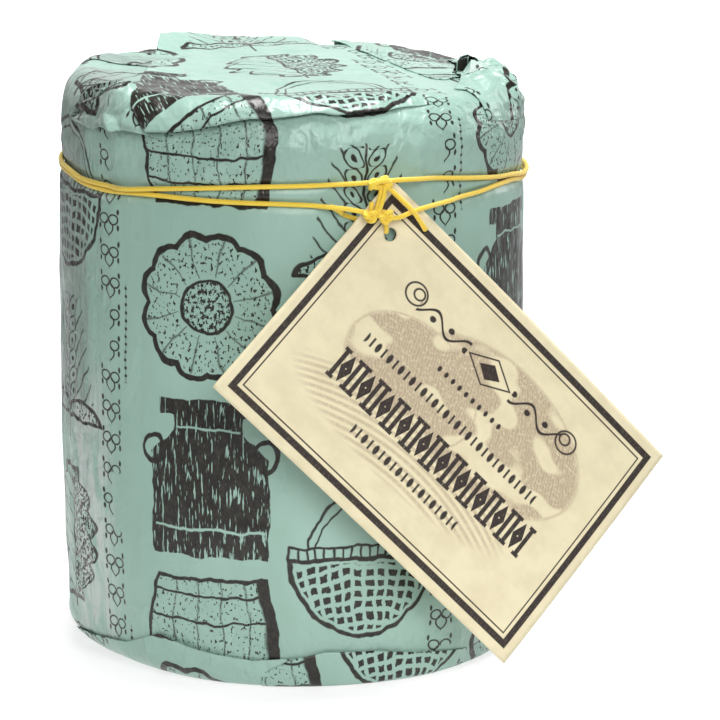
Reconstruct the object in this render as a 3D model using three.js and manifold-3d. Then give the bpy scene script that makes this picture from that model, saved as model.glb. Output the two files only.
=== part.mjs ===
// A drum of cheese shut in glossy printed paper and tied with two turns of elastic cord,
// which carry a stiff card tag. Millimetres, +Z up, the front faces -Y, and the origin is
// the middle of the foot. Azimuths are degrees from the front, growing towards +X.

import * as THREE from 'three';
import { mergeVertices } from 'three/addons/utils/BufferGeometryUtils.js';
import Module from 'manifold-3d';

// Paper drum
const topLevel = 154.2;
const girthRadius = 62.3;
const taperDrop = 1.4;
const taperTop = 60;
const taperSpan = 50;
const taperPower = 1.6;
const rimInset = 9;
const rimDrop = 13;
const rimArc = 17.5;
const baseEdgeHeight = 9;
const baseInset = 3;
const slackBaseInset = 6.5;
const slackBaseAzimuth = -62;
const slackBaseSpread = 34;
const wrinkleDepth = 0.22;
const wrinkleFade = 14;

// Cord
const cordRadius = 0.7;
const cordSides = 8;
const knotSides = 6;
const cordGap = 0.6;
const cordLevel = 131;
const grooveDepth = 0.4;
const grooveReach = 5;

// Card tag
const tagLength = 111.6;
const tagWidth = 71.4;
const tagThickness = 0.6;
const tagAzimuth = 22.8;
const tagTilt = 6;
const tagTurn = 45.7;
const tagBow = 3.2;
const tagBowReach = 60;
const tagCornerRadius = 63.6;
const tagCornerAzimuth = 23.9;
const tagCornerLevel = 135.7;
const tagHoleRadius = 1.8;
const tagHoleDrop = 14.4;
const tagHoleShift = -0.9;

const wrapColumns = 72;
const layerDepth = 2;
const radians = THREE.MathUtils.degToRad;
const wasm = await Module();
wasm.setup();

// Curves and levels

function smooth(edge0, edge1, value) {
  return THREE.MathUtils.smoothstep(value, edge0, edge1);
}

function bell(value, centre, spread) {
  const distance = (value - centre) / spread;
  return Math.exp(-distance * distance);
}

function turnBetween(azimuth, centre) {
  return THREE.MathUtils.euclideanModulo(azimuth - centre + 180, 360) - 180;
}

// Reads a hand-drawn curve of [place, height] pairs at any place between them.
function trace(curve, place) {
  if (place <= curve[0][0]) return curve[0][1];
  for (let i = 1; i < curve.length; i += 1) {
    const [left, leftHeight] = curve[i - 1];
    const [right, rightHeight] = curve[i];
    if (place <= right) {
      const share = (place - left) / (right - left);
      return leftHeight + (rightHeight - leftHeight) * share;
    }
  }
  return curve[curve.length - 1][1];
}

// Solids from meshes

function toSolid(geometry) {
  geometry.deleteAttribute('normal');
  geometry.deleteAttribute('uv');
  const merged = mergeVertices(geometry, 1e-4);
  return new wasm.Manifold(new wasm.Mesh({
    numProp: 3,
    vertProperties: Float32Array.from(merged.attributes.position.array),
    triVerts: Uint32Array.from(merged.index.array),
  }));
}

function toGeometry(solid) {
  const mesh = solid.getMesh();
  const geometry = new THREE.BufferGeometry();
  const positions = new Float32Array(mesh.vertProperties);
  geometry.setAttribute('position', new THREE.BufferAttribute(positions, 3));
  geometry.setIndex(new THREE.BufferAttribute(new Uint32Array(mesh.triVerts), 1));
  geometry.computeVertexNormals();
  return geometry;
}

function geometryOf(points, triangles) {
  const geometry = new THREE.BufferGeometry();
  geometry.setFromPoints(points);
  geometry.setIndex(triangles);
  return geometry;
}

// A closed slab between an outer and an inner grid of points with the same rows and columns.
function slab(outer, inner) {
  const rows = outer.length;
  const columns = outer[0].length;
  const points = [...outer.flat(), ...inner.flat()];
  const triangles = [];
  const upper = (row, column) => row * columns + column;
  const lower = (row, column) => rows * columns + row * columns + column;
  const quad = (a, b, c, d) => triangles.push(a, b, c, a, c, d);
  for (let r = 0; r + 1 < rows; r += 1) {
    for (let c = 0; c + 1 < columns; c += 1) {
      quad(upper(r, c), upper(r, c + 1), upper(r + 1, c + 1), upper(r + 1, c));
      quad(lower(r, c), lower(r + 1, c), lower(r + 1, c + 1), lower(r, c + 1));
    }
    quad(upper(r, 0), upper(r + 1, 0), lower(r + 1, 0), lower(r, 0));
    const last = columns - 1;
    quad(upper(r + 1, last), upper(r, last), lower(r, last), lower(r + 1, last));
  }
  for (let c = 0; c + 1 < columns; c += 1) {
    quad(upper(0, c + 1), upper(0, c), lower(0, c), lower(0, c + 1));
    const last = rows - 1;
    quad(upper(last, c), upper(last, c + 1), lower(last, c + 1), lower(last, c));
  }
  return toSolid(geometryOf(points, triangles));
}

function tube(points, steps, sides = cordSides) {
  const section = new THREE.Shape();
  for (let i = 0; i < sides; i += 1) {
    const angle = (2 * Math.PI * i) / sides;
    const x = cordRadius * Math.cos(angle);
    const y = cordRadius * Math.sin(angle);
    if (i === 0) section.moveTo(x, y);
    else section.lineTo(x, y);
  }
  section.closePath();
  const extrudePath = new THREE.CatmullRomCurve3(points, false, 'centripetal');
  return toSolid(new THREE.ExtrudeGeometry(section, { steps, extrudePath, bevelEnabled: false }));
}

// The wrapped drum's skin

function sideRadius(level) {
  const below = Math.max(0, (taperTop - level) / taperSpan);
  return girthRadius - taperDrop * below ** taperPower;
}

function wrinkle(azimuth, level) {
  const turn = radians(azimuth);
  const folds = Math.sin(9 * turn + 0.7) * 0.5 + Math.sin(17 * turn + level / 24) * 0.5;
  const away = Math.min(1, Math.abs(level - cordLevel) / wrinkleFade);
  return wrinkleDepth * folds * away - grooveDepth * bell(level, cordLevel, grooveReach);
}

function baseEdgeInset(azimuth) {
  const slack = bell(turnBetween(azimuth, slackBaseAzimuth), 0, slackBaseSpread);
  return baseInset + slackBaseInset * slack;
}

// A point of the skin from its azimuth, its radius, its level and how far it stands out.
function place(azimuth, radius, level) {
  const turn = radians(azimuth);
  return new THREE.Vector3(radius * Math.sin(turn), -radius * Math.cos(turn), level);
}

// The skin from the top's middle outwards: reach is the way along the paper from there.
function skin(azimuth, reach, lift) {
  const flat = girthRadius - rimInset;
  if (reach <= flat) return place(azimuth, reach, topLevel + lift);
  const bend = (Math.PI / 2) * Math.min(1, (reach - flat) / rimArc);
  const radius = flat + (rimInset + lift) * Math.sin(bend);
  const level = topLevel - rimDrop + (rimDrop + lift) * Math.cos(bend);
  const down = Math.max(0, reach - flat - rimArc);
  return place(azimuth, radius + wrinkle(azimuth, level) * Math.sin(bend), level - down);
}

// The skin just above the foot: lift stands it out from the rounded bottom edge.
function footSkin(azimuth, level, lift) {
  const inset = baseEdgeInset(azimuth);
  const height = THREE.MathUtils.clamp(level / baseEdgeHeight, 0, 1);
  const tuck = 1 - Math.sqrt(1 - (1 - height) ** 2);
  const radius = sideRadius(level) - inset * tuck + lift;
  return place(azimuth, radius + wrinkle(azimuth, level) * height, level);
}

// The main drum, as rings of points from the foot's middle to the top's middle.
function makeDrum() {
  const ringAt = (point) => {
    const ring = [];
    for (let c = 0; c < wrapColumns; c += 1) ring.push(point((360 * c) / wrapColumns));
    return ring;
  };
  const rings = [];
  const footRadius = (azimuth) => sideRadius(0) - baseEdgeInset(azimuth);
  rings.push(ringAt((azimuth) => place(azimuth, footRadius(azimuth) * 0.5, 0)));
  for (const level of [0, 0.6, 2.2, 5, baseEdgeHeight]) {
    rings.push(ringAt((azimuth) => footSkin(azimuth, level, 0)));
  }
  const sideTop = topLevel - rimDrop;
  const sideRows = 11;
  for (let i = 1; i < sideRows; i += 1) {
    const level = baseEdgeHeight + ((sideTop - baseEdgeHeight) * i) / sideRows;
    rings.push(ringAt((azimuth) => footSkin(azimuth, level, 0)));
  }
  const rimRows = 6;
  for (let i = rimRows; i >= 0; i -= 1) {
    const reach = girthRadius - rimInset + (rimArc * i) / rimRows;
    rings.push(ringAt((azimuth) => skin(azimuth, reach, 0)));
  }
  for (const share of [0.66, 0.33]) {
    const reach = (girthRadius - rimInset) * share;
    rings.push(ringAt((azimuth) => skin(azimuth, reach, 0)));
  }
  const points = rings.flat();
  const foot = points.push(place(0, 0, 0)) - 1;
  const crown = points.push(place(0, 0, topLevel)) - 1;
  const triangles = [];
  for (let c = 0; c < wrapColumns; c += 1) {
    const next = (c + 1) % wrapColumns;
    for (let r = 0; r + 1 < rings.length; r += 1) {
      const low = r * wrapColumns;
      const high = low + wrapColumns;
      triangles.push(low + c, low + next, high + next, low + c, high + next, high + c);
    }
    const last = (rings.length - 1) * wrapColumns;
    triangles.push(foot, next, c, crown, last + c, last + next);
  }
  return toSolid(geometryOf(points, triangles));
}

// A layer of paper on the skin. outline(u, v) gives azimuth and reach, lift(u, v) its height.
function layer(rows, columns, outline, lift) {
  const grid = (height) => {
    const points = [];
    for (let r = 0; r < rows; r += 1) {
      const v = r / (rows - 1);
      const row = [];
      for (let c = 0; c < columns; c += 1) {
        const u = c / (columns - 1);
        const [azimuth, reach] = outline(u, v);
        row.push(skin(azimuth, reach, height(u, v)));
      }
      points.push(row);
    }
    return points;
  };
  return slab(grid(lift), grid(() => -layerDepth));
}

// The closing sheet: it lies over the top from a straight left edge, bends over the front
// of the rim as a lip that stands off, and sinks into the paper on the right.
const sheetLeft = -39.5;
const sheetRight = 46;
const lipReach = [[-40, 67], [-33, 66.4], [-21, 64.4], [-11, 62.4], [0, 61], [14, 60.6], [30, 59]];
const lipStand = [[-40, 1.6], [-30, 2.4], [-15, 2.2], [0, 1.9], [14, 1.5], [30, 0.5], [46, -0.4]];
const backStand = [[-40, 3], [-33, 2.2], [-15, 1.4], [2, 1.2], [8, 0.2], [14, 1.1], [30, 0.8]];

function makeClosingSheet() {
  const outline = (u, v) => {
    const x = sheetLeft + (sheetRight - sheetLeft) * u;
    const front = Math.sqrt(trace(lipReach, x) ** 2 - x * x);
    const back = Math.sqrt((girthRadius - rimInset + 2) ** 2 - x * x);
    const y = -front + (front + back) * v;
    return [THREE.MathUtils.radToDeg(Math.atan2(x, -y)), Math.hypot(x, y)];
  };
  const lift = (u, v) => {
    const x = sheetLeft + (sheetRight - sheetLeft) * u;
    const middle = 0.9 - 1.1 * smooth(18, 44, x);
    const atFront = trace(lipStand, x) * (1 - smooth(0, 0.2, v));
    const atBack = trace(backStand, x) * smooth(0.72, 1, v);
    return middle * (1 - Math.abs(2 * v - 1) ** 4) + atFront + atBack;
  };
  return layer(15, 22, outline, lift);
}

// The pleat on the left shoulder: a puffed fold that narrows to a gathered tip.
function makeLeftPleat() {
  const outline = (u, v) => {
    const azimuth = -66 + 32 * u;
    const low = 67.5 + 0.6 * Math.sin(Math.PI * u);
    const high = low - 19 * Math.sin((Math.PI / 2) * Math.min(1, u * 1.25)) - 0.8;
    return [azimuth, low + (high - low) * v];
  };
  const lift = (u, v) => {
    const puff = 1.6 * Math.sin(Math.PI * Math.min(1, v * 1.1)) * smooth(0, 0.4, u);
    return 0.5 + puff - 1.3 * smooth(0.7, 1, v) + 0.9 * (1 - smooth(0, 0.25, v));
  };
  return layer(8, 14, outline, lift);
}

// The pleat on the right shoulder: a crumpled ear of paper with ridges that fan out.
function makeRightPleat() {
  const outline = (u, v) => {
    const azimuth = 57 + 66 * u;
    const inner = 45 + 7 * Math.abs(2 * u - 1);
    const outer = 67 + 4 * Math.sin(Math.PI * u);
    return [azimuth, outer + (inner - outer) * v];
  };
  const lift = (u, v) => {
    const body = Math.sin(Math.PI * u) ** 0.7;
    const ridges = 0.7 * Math.sin(5 * Math.PI * u + 2.2 * v);
    const rise = 2.6 * smooth(0, 0.55, v) * (1 - 0.5 * smooth(0.85, 1, v));
    return (rise + ridges * Math.sin(Math.PI * v)) * body - 0.5 * (1 - body);
  };
  return layer(8, 15, outline, lift);
}

// The folded layer round the foot's front left: its upper edge rises to a low peak.
const foldTop = [[-76, 5], [-64, 6.4], [-46, 8.2], [-35, 12.6], [-25, 10], [-10, 7.8], [2, 8.8], [16, 7]];
const foldStand = 0.8;

function makeFootFold() {
  const rows = 5;
  const columns = 24;
  const first = foldTop[0][0];
  const last = foldTop[foldTop.length - 1][0];
  const grid = (stand) => {
    const points = [];
    for (let r = 0; r < rows; r += 1) {
      const row = [];
      for (let c = 0; c < columns; c += 1) {
        const azimuth = first + ((last - first) * c) / (columns - 1);
        const low = 0.4;
        const level = low + ((trace(foldTop, azimuth) - low) * r) / (rows - 1);
        const ends = Math.sin((Math.PI * c) / (columns - 1)) ** 0.4;
        row.push(footSkin(azimuth, level, stand > 0 ? stand * ends - 0.1 : stand));
      }
      points.push(row);
    }
    return points;
  };
  return slab(grid(foldStand), grid(-layerDepth));
}

function makePaperWrap() {
  return makeDrum()
    .add(makeClosingSheet())
    .add(makeLeftPleat())
    .add(makeRightPleat())
    .add(makeFootFold());
}

// Cord: hand-set places as [azimuth, level, how far the cord is lifted off the paper]

const upperTurnFront = [
  [-100, 131.1, 0.1], [-85, 131.7, 0.1], [-72, 131.7, 0.2], [-62, 130.8, 0.3], [-51, 130.7, 0.2],
  [-44, 130.9, 0.6], [-36, 131.8, 0.3], [-23, 133.1, 0], [-8, 134.2, 0], [5, 134.6, 0.1],
  [14, 135.1, 0.8], [19, 135.5, 2.2], [25, 135.6, 2.2], [32, 135.0, 0.8], [39, 134.1, 0.1],
  [50, 132.6, 0], [61, 131.1, 0], [71, 130.1, 0.2], [80, 129.0, 0.5], [100, 128.7, 0.5],
];
const lowerTurnFront = [
  [-100, 129.9, 0], [-85, 130.5, 0], [-72, 130.5, 0], [-62, 129.5, 0], [-51, 129.3, 0],
  [-42, 129.9, 0], [-33, 130.2, 0], [-20, 130.0, 0], [-4, 129.8, 0], [6, 129.4, 0.4],
  [12, 128.9, 1.8], [16, 128.1, 3.1], [20, 126.8, 3.4], [24, 126.0, 3.5], [28, 127.3, 3.4],
  [32, 128.0, 3.1], [37, 128.2, 1.6], [43, 128.4, 0.5], [52, 128.5, 0], [61, 128.9, 0],
  [71, 128.6, 0], [80, 127.6, 0.3], [100, 127.3, 0.3],
];
const upperTurnBack = [
  [96, 128.7, 0.5], [130, 129.0, 0.2], [180, 129.7, 0], [225, 130.4, 0], [264, 131.3, 0.1],
];
const lowerTurnBack = [[96, 127.3, 0.3], [130, 127.7, 0], [180, 128.3, 0], [225, 129.0, 0], [264, 130.1, 0]];
const tail = [[21.5, 134.6, 3.2], [23.9, 131.8, 4.2], [27.1, 127.9, 5], [29.5, 124.6, 4], [31.1, 122.2, 3.4]];
const leftLink = [[20.5, 134.7, 3], [20, 132.2, 3.4], [19.2, 129.5, 4], [18.4, 127.3, 4.3]];
const rightLink = [[21.1, 134.7, 3.6], [20.6, 132.3, 4.3], [19.7, 129.7, 4.8], [18.8, 127.4, 5]];

function cordPlace([azimuth, level, lift]) {
  const paper = sideRadius(level) + wrinkle(azimuth, level);
  return place(azimuth, paper + cordGap + cordRadius + lift, level);
}

// A run of cord that keeps to the paper between its places.
function cordRun(places, steps, sides = cordSides) {
  const chart = new THREE.CatmullRomCurve3(places.map((spot) => new THREE.Vector3(...spot)));
  const points = chart.getPoints(2 * steps).map((spot) => cordPlace([spot.x, spot.y, spot.z]));
  return tube(points, steps, sides);
}

// The small wound knot on the upper turn: a close helix round the cord.
function makeUpperKnot() {
  const turns = 2.5;
  const samples = 30;
  const places = [];
  for (let i = 0; i <= samples; i += 1) {
    const share = i / samples;
    const angle = 2 * Math.PI * turns * share + 2.4;
    const azimuth = 18.1 + 4.2 * share;
    places.push([azimuth, 135.5 + 1.3 * Math.cos(angle), 2.6 + 1.3 * Math.sin(angle)]);
  }
  return cordRun(places, 26, knotSides);
}

// The larger knot on the lower turn: a three-lobed loop that lies on the card.
function makeLowerKnot() {
  const samples = 36;
  const places = [];
  for (let i = 0; i <= samples; i += 1) {
    const angle = (2 * Math.PI * i) / samples;
    const across = Math.sin(angle) + 1.5 * Math.sin(2 * angle);
    const along = Math.cos(angle) - 1.5 * Math.cos(2 * angle);
    const over = 0.8 * Math.sin(3 * angle);
    places.push([19.5 + 1.25 * across, 127 + 1.35 * along, 4.3 + over]);
  }
  return cordRun(places, 30, knotSides);
}

// Where the tag lies: its own frame has x along its length and y down its width.
function tagFrame() {
  const azimuth = radians(tagAzimuth);
  const tilt = radians(tagTilt);
  const outward = new THREE.Vector3(
    Math.sin(azimuth) * Math.cos(tilt), -Math.cos(azimuth) * Math.cos(tilt), Math.sin(tilt));
  const level = new THREE.Vector3(Math.cos(azimuth), Math.sin(azimuth), 0);
  const upward = new THREE.Vector3().crossVectors(outward, level);
  return { outward, level, upward };
}

// A point of the card, x to the right and y upwards from its top corner, before its turn.
function tagPoint(x, y, depth) {
  const { outward, level, upward } = tagFrame();
  return place(tagCornerAzimuth, tagCornerRadius, tagCornerLevel)
    .addScaledVector(level, x)
    .addScaledVector(upward, y)
    .addScaledVector(outward, -depth - tagBow * (x / tagBowReach) ** 2);
}

function makeHoleLoop() {
  const around = (x, y, depth) => tagPoint(tagHoleShift + x, -tagHoleDrop + y, depth);
  const behind = cordGap + cordRadius;
  const points = [
    around(-2.2, 6.2, -1.6),
    around(-1.1, 3.4, -1.5),
    around(-0.2, 0.8, -0.6),
    around(-0.2, -0.1, tagThickness / 2),
    around(-0.8, 0.6, tagThickness + behind - 0.35),
    around(-3.6, 2.4, tagThickness + behind - 0.2),
    cordPlace([13, 126.5, -0.05]),
    cordPlace([11.2, 128, 0.7]),
    cordPlace([9, 129.5, 0.8]),
  ];
  return tube(points, 18, knotSides);
}

function makeElasticCord() {
  return cordRun(upperTurnFront, 28)
    .add(cordRun(upperTurnBack, 22))
    .add(cordRun(lowerTurnFront, 32))
    .add(cordRun(lowerTurnBack, 22))
    .add(cordRun(tail, 7, knotSides))
    .add(cordRun(leftLink, 6, knotSides))
    .add(cordRun(rightLink, 6, knotSides))
    .add(makeUpperKnot())
    .add(makeLowerKnot())
    .add(makeHoleLoop());
}

function makeTag() {
  const rows = 9;
  const columns = 13;
  const turn = radians(tagTurn);
  const grid = (depth) => {
    const points = [];
    for (let r = 0; r < rows; r += 1) {
      const down = (tagWidth * (rows - 1 - r)) / (rows - 1);
      const row = [];
      for (let c = 0; c < columns; c += 1) {
        const along = (tagLength * c) / (columns - 1);
        const x = along * Math.cos(turn) - down * Math.sin(turn);
        const y = -along * Math.sin(turn) - down * Math.cos(turn);
        row.push(tagPoint(x, y, depth));
      }
      points.push(row);
    }
    return points;
  };
  const { outward } = tagFrame();
  const punch = new THREE.CylinderGeometry(tagHoleRadius, tagHoleRadius, 8, 16);
  punch.applyQuaternion(new THREE.Quaternion().setFromUnitVectors(new THREE.Vector3(0, 1, 0), outward));
  const hole = tagPoint(tagHoleShift, -tagHoleDrop, 0);
  punch.translate(hole.x, hole.y, hole.z);
  return slab(grid(0), grid(tagThickness)).subtract(toSolid(punch));
}

// The object

const paper = new THREE.MeshStandardMaterial({ color: 0x96c4b0, roughness: 0.34, metalness: 0 });
const elastic = new THREE.MeshStandardMaterial({ color: 0xe9bf2c, roughness: 0.55, metalness: 0 });
const card = new THREE.MeshStandardMaterial({ color: 0xece0bb, roughness: 0.7, metalness: 0 });

const cheese = new THREE.Group();
const pieces = [
  ['paper_wrap', makePaperWrap(), paper],
  ['elastic_cord', makeElasticCord(), elastic],
  ['swing_tag', makeTag(), card],
];
for (const [name, solid, material] of pieces) {
  const mesh = new THREE.Mesh(toGeometry(solid), material);
  mesh.name = name;
  cheese.add(mesh);
}

export default cheese;
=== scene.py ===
# A drum of cheese shut in glossy printed paper, tied with elastic cord that holds a card tag.
# Lengths are written in millimetres and turned into metres where a mesh is made.
# Azimuths are degrees from the front, which faces -Y, growing towards +X.
# A reach is the way along the paper outwards from the middle of the top.

import math
from functools import reduce

import bpy
import numpy as np
from mathutils import Matrix, Vector


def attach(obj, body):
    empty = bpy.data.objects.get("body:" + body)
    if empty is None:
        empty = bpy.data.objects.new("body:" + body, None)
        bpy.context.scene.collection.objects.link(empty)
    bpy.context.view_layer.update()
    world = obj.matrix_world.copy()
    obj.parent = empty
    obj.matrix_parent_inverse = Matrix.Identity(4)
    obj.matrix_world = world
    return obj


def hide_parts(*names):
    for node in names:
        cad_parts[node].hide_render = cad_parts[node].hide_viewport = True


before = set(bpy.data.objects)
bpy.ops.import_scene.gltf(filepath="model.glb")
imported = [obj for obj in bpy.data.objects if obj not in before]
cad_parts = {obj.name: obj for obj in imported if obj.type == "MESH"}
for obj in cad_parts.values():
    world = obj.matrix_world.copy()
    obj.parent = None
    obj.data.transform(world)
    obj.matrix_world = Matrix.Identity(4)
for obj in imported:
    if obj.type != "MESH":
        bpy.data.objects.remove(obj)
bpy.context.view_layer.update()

MM = 0.001
BODY = "root"

# Paper drum, as in the frame
top_level = 154.2
girth_radius = 62.3
girth_length = 2 * math.pi * girth_radius
taper_drop = 1.4
taper_top = 60
taper_span = 50
taper_power = 1.6
rim_inset = 9
rim_drop = 13
rim_arc = 17.5
base_edge_height = 9
base_inset = 3
slack_base_inset = 9
slack_base_azimuth = -62
slack_base_spread = 34
wrinkle_depth = 0.22
wrinkle_fade = 14
flat_reach = girth_radius - rim_inset
side_top = top_level - rim_drop
paper_thickness = 0.22
seam_step = 0.45
seam_reach = 50
drum_columns = 500

# Closing sheet over the top: places along its edges are [x, reach], [x, lift] and [share back, x]
sheet_right = 46
sheet_left_edge = [(0, -39.4), (0.03, -40.6), (0.08, -41.8), (0.16, -41.2), (0.3, -39.8), (1, -35.8)]
lip_reach = [(-42, 67.2), (-33, 66.4), (-21, 64.4), (-11, 62.4), (0, 61), (14, 60.6), (30, 59)]
lip_stand = [
    (-42, 1.4), (-36, 2.0), (-28, 3.0), (-17, 2.8), (-8, 2.2), (0, 1.8), (14, 1.3), (30, 0.5), (46, -0.4),
]
back_stand = [(-38, 4.9), (-29, 4.0), (-22, 2.4), (-15, 1.9), (2, 1.6), (8, 0.6), (14, 1.0), (30, 0.4)]

# Ear on the right shoulder: places along its folds are [x, y, lift]
ear_mouth = [(43.4, 2.0, 0.6), (45.2, 2.6, 4.4), (47.2, 3.0, 5.4), (49.6, 2.6, 4.6), (51.6, 1.0, 2.4)]
ear_tip = [(46.5, 12, 0.3), (50, 14, 1.2), (53, 13, 1.6), (56, 10, 1.0), (58, 6, 0.2)]
ear_hollow_foot = [(43.9, 2.6, 0.2), (45.4, 3.2, 0.2), (47.4, 3.4, 0.3)]
ear_hollow_head = [(43.9, 1.0, 2.4), (45.4, 1.0, 4.0), (47.6, 1.2, 4.6)]
ear_face_foot = [(45.4, -1.6, 0.3), (47.4, -4.4, 0.5), (50.4, -7.4, 0.7), (53.6, -9.6, 0.6), (58.5, -9, 0.3)]
ear_face_head = [(46.3, 0.2, 1.2), (48.3, 1.4, 4.0), (50.8, 0.6, 3.6), (54.0, -1.2, 2.6), (59.0, -3.4, 0.7)]

# Back flap and foot folds: [x, y] along the flap's free edge, [azimuth, level] along a fold's top
back_flap_edge = [(11, 47), (19.6, 29), (29.3, 6), (38, -11), (41, -12), (45, -7)]
back_flap_first = 98
back_flap_last = 168
fold_top = [(-76, 5), (-64, 6.4), (-46, 8.2), (-35, 12.6), (-25, 10), (-10, 7.8), (2, 8.8), (16, 7)]
back_fold_top = [(84, 6), (96, 9), (112, 11.5), (124, 8), (140, 9.5), (158, 13), (170, 9), (196, 7)]
lap_top = [(-8, 4.0), (0, 8.6), (8, 10.2), (20, 9.6), (34, 7.4), (50, 5.2)]
fold_stand = 0.7

# Print: how the sheets face on the flat print, and how far each piece's print is shifted
chart_unit = 100
sheet_facing = 18
left_facing = -80
back_facing = 180
left_pleat_shift = (-12.0, 5.0)
right_pleat_shift = (-17.0, 12.0)
# The ear hollow's print is shifted onto the churn's solid ink, so its small sheet reads dark: print used as
# painted shade in the hollow
ear_hollow_shade_ink_shift = (-68.6, 52.0)
ear_face_shift = (-108, 60)
back_pleat_shift = (31.0, -14.0)
back_flap_shift = (11.0, 5.0)
foot_lap_shift = (-12.0, 17.0)
foot_fold_shift = (9.0, -21.0)
back_foot_fold_shift = (-14.0, 33.0)

# Cord
cord_radius = 0.7
cord_strand = 0.65
knot_strand = 0.7
cord_sides = 14
cord_gap = 0.6
cord_seat = 0.85
cord_dent = 1.0
cord_dent_reach = 1.5
cord_braid_depth = 0.03
braid_pitch = 1.3
braid_strands = 4
braid_chart_width = 10
cord_level = 131
groove_depth = 0.4
groove_reach = 5

# Cord's route: places given as [azimuth, level, how far the cord is lifted off the paper]
upper_turn = [
    (-85, 131.7, 0.1), (-72, 131.7, 0.2), (-62, 130.8, 0.3), (-51, 130.7, 0.2), (-44, 130.9, 0.6),
    (-36, 131.8, 0.3), (-23, 133.1, 0), (-8, 134.2, 0), (5, 134.6, 0.1), (14, 135.1, 0.8),
    (19, 135.5, 2.2), (25, 135.6, 2.2), (32, 135.0, 0.8), (39, 134.1, 0.1), (50, 132.6, 0),
    (61, 131.1, 0), (71, 130.1, 0.2), (80, 129.0, 0.5), (100, 128.7, 0.5), (130, 129.0, 0.2),
    (180, 129.7, 0), (225, 130.4, 0), (258, 131.2, 0.1),
]
lower_turn = [
    (-85, 130.5, 0), (-72, 130.5, 0), (-62, 129.5, 0), (-51, 129.3, 0), (-42, 129.9, 0),
    (-33, 130.2, 0), (-20, 130.0, 0), (-4, 129.8, 0), (6, 129.4, 0.4), (12, 128.9, 1.8),
    (16, 128.1, 3.1), (20, 126.8, 3.4), (24, 126.0, 3.5), (28, 127.3, 3.4), (32, 128.0, 3.1),
    (37, 128.2, 1.6), (43, 128.4, 0.5), (52, 128.5, 0), (61, 128.9, 0), (71, 128.6, 0),
    (80, 127.6, 0.3), (100, 127.3, 0.3), (130, 127.7, 0), (180, 128.3, 0), (225, 129.0, 0),
    (258, 130.0, 0),
]
tail = [(21.5, 134.6, 3.2), (23.9, 131.8, 4.2), (27.1, 127.9, 5), (29.5, 124.6, 4), (31.1, 122.2, 3.4)]
left_link = [(20.5, 134.7, 3.0), (20.0, 132.2, 3.4), (19.2, 129.5, 4.0), (18.4, 127.3, 4.3)]
right_link = [(21.1, 134.7, 3.6), (20.6, 132.3, 4.3), (19.7, 129.7, 4.8), (18.8, 127.4, 5.0)]
over_knot = [
    (17.7, 134.0, 3.0), (18.4, 135.4, 3.9), (20.2, 136.1, 4.2), (21.8, 135.8, 4.0), (22.6, 134.6, 3.3),
]
drop_loop = [
    (19.9, 127.4, 4.2), (19.9, 126.2, 4.9), (20.5, 125.3, 5.0), (21.3, 125.6, 4.9), (21.7, 127.2, 4.2),
]
knot_end = [(17.8, 127.8, 3.6), (17.7, 129.2, 4.0), (17.9, 130.6, 3.9)]
loop_on_paper = [(13, 126.5, -0.05), (11.2, 128, 0.7), (9, 129.5, 0.8)]

# Card tag
tag_length = 111.6
tag_width = 71.4
tag_thickness = 0.6
tag_azimuth = 22.8
tag_tilt = 6
tag_turn = 45.7
tag_bow = 3.2
tag_bow_reach = 60
tag_corner_radius = 63.6
tag_corner_azimuth = 23.9
tag_corner_level = 135.7
tag_hole_radius = 1.8
tag_hole_drop = 14.4
tag_hole_shift = -0.9

# Camera
camera_distance = 1400
camera_height = 378
camera_yaw = 0.754
camera_pitch = 12.197
camera_focal_pixels = 5286
image_pixels = 720
sensor_width = 36


# Curves and noise

def smooth(low, high, value):
    share = np.clip((np.asarray(value, float) - low) / (high - low), 0, 1)
    return share * share * (3 - 2 * share)


def bell(value, centre, spread):
    return np.exp(-(((value - centre) / spread) ** 2))


def turned(azimuth):
    """The same azimuth, from -180 to 180."""
    return (azimuth + 180) % 360 - 180


def lobe(azimuth, centre, spread):
    """A bell round the drum."""
    return bell(turned(azimuth - centre), 0, spread)


def trace(curve, place):
    places, heights = zip(*curve)
    return np.interp(place, places, heights)


def lattice(seed, size=128):
    return np.random.default_rng(seed).random((size, size)) * 2 - 1


def soft_noise(x, y, cell_x, cell_y, seed):
    """Smooth waves from -1 to 1, about one hump to a cell."""
    heights = lattice(seed)
    size = len(heights)
    across, along = x / cell_x, y / cell_y
    column, row = np.floor(across).astype(int), np.floor(along).astype(int)
    share_x, share_y = (share * share * (3 - 2 * share) for share in (across - column, along - row))
    column, row = column % size, row % size
    right, above = (column + 1) % size, (row + 1) % size
    lower = heights[row, column] * (1 - share_x) + heights[row, right] * share_x
    upper = heights[above, column] * (1 - share_x) + heights[above, right] * share_x
    return lower * (1 - share_y) + upper * share_y


def facets(x, y, cell, seed, bend=0.7):
    """Heights from -1 to 1 on a bent net of flat triangles, for paper's sharp creases."""
    heights = lattice(seed)
    size = len(heights)
    across = x / cell + bend * soft_noise(x, y, 1.9 * cell, 1.9 * cell, seed + 1)
    along = y / cell + bend * soft_noise(x, y, 1.9 * cell, 1.9 * cell, seed + 2)
    skew = (across + along) * 0.366
    across, along = across + skew, along + skew
    column, row = np.floor(across).astype(int), np.floor(along).astype(int)
    share_x, share_y = across - column, along - row
    near, far = np.maximum(share_x, share_y), np.minimum(share_x, share_y)
    wide = share_x > share_y
    middle = heights[(row + np.where(wide, 0, 1)) % size, (column + np.where(wide, 1, 0)) % size]
    start = heights[row % size, column % size]
    end = heights[(row + 1) % size, (column + 1) % size]
    return start * (1 - near) + middle * (near - far) + end * far


def ease_off(distance, width):
    """1 on a line and 0 from a width away, with a sharp top like a crease."""
    return np.maximum(0, 1 - np.abs(distance) / width)


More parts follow.
